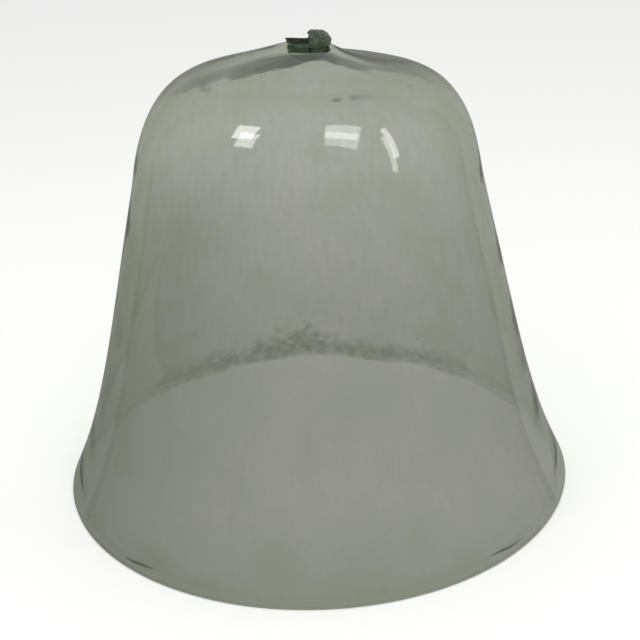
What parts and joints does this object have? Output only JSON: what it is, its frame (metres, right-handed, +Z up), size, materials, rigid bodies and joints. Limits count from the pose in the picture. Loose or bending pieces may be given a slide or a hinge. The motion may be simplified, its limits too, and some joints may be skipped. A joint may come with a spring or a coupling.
{
  "type": "glass cloche",
  "caption": "Bell-shaped blown glass garden cloche with a flared skirt and a rounded crown, topped by a broken knob; it stands over a plant to shelter it.",
  "frame": {"origin": "centre of the flat land that the rim rests on", "axes": "+Z up along the bell's axis, from the rim to the knob; +X towards the side that the knob's stump stands on; +Y towards the back, where the broken face of the pad dips"},
  "size_m": [0.4199, 0.42, 0.3685],
  "materials": {
    "blown_glass": "clear blown glass with a grey-green cast, slightly wavy, hazed and grimy from garden use",
    "knob_glass": "thick bottle-green glass, glossy on its made surfaces, with sharp shell-shaped fractures where it broke"
  },
  "bodies": {
    "root": {"bell": "blown_glass", "knob_pad": "knob_glass", "knob_stump": "knob_glass"}
  },
  "joints": []
}
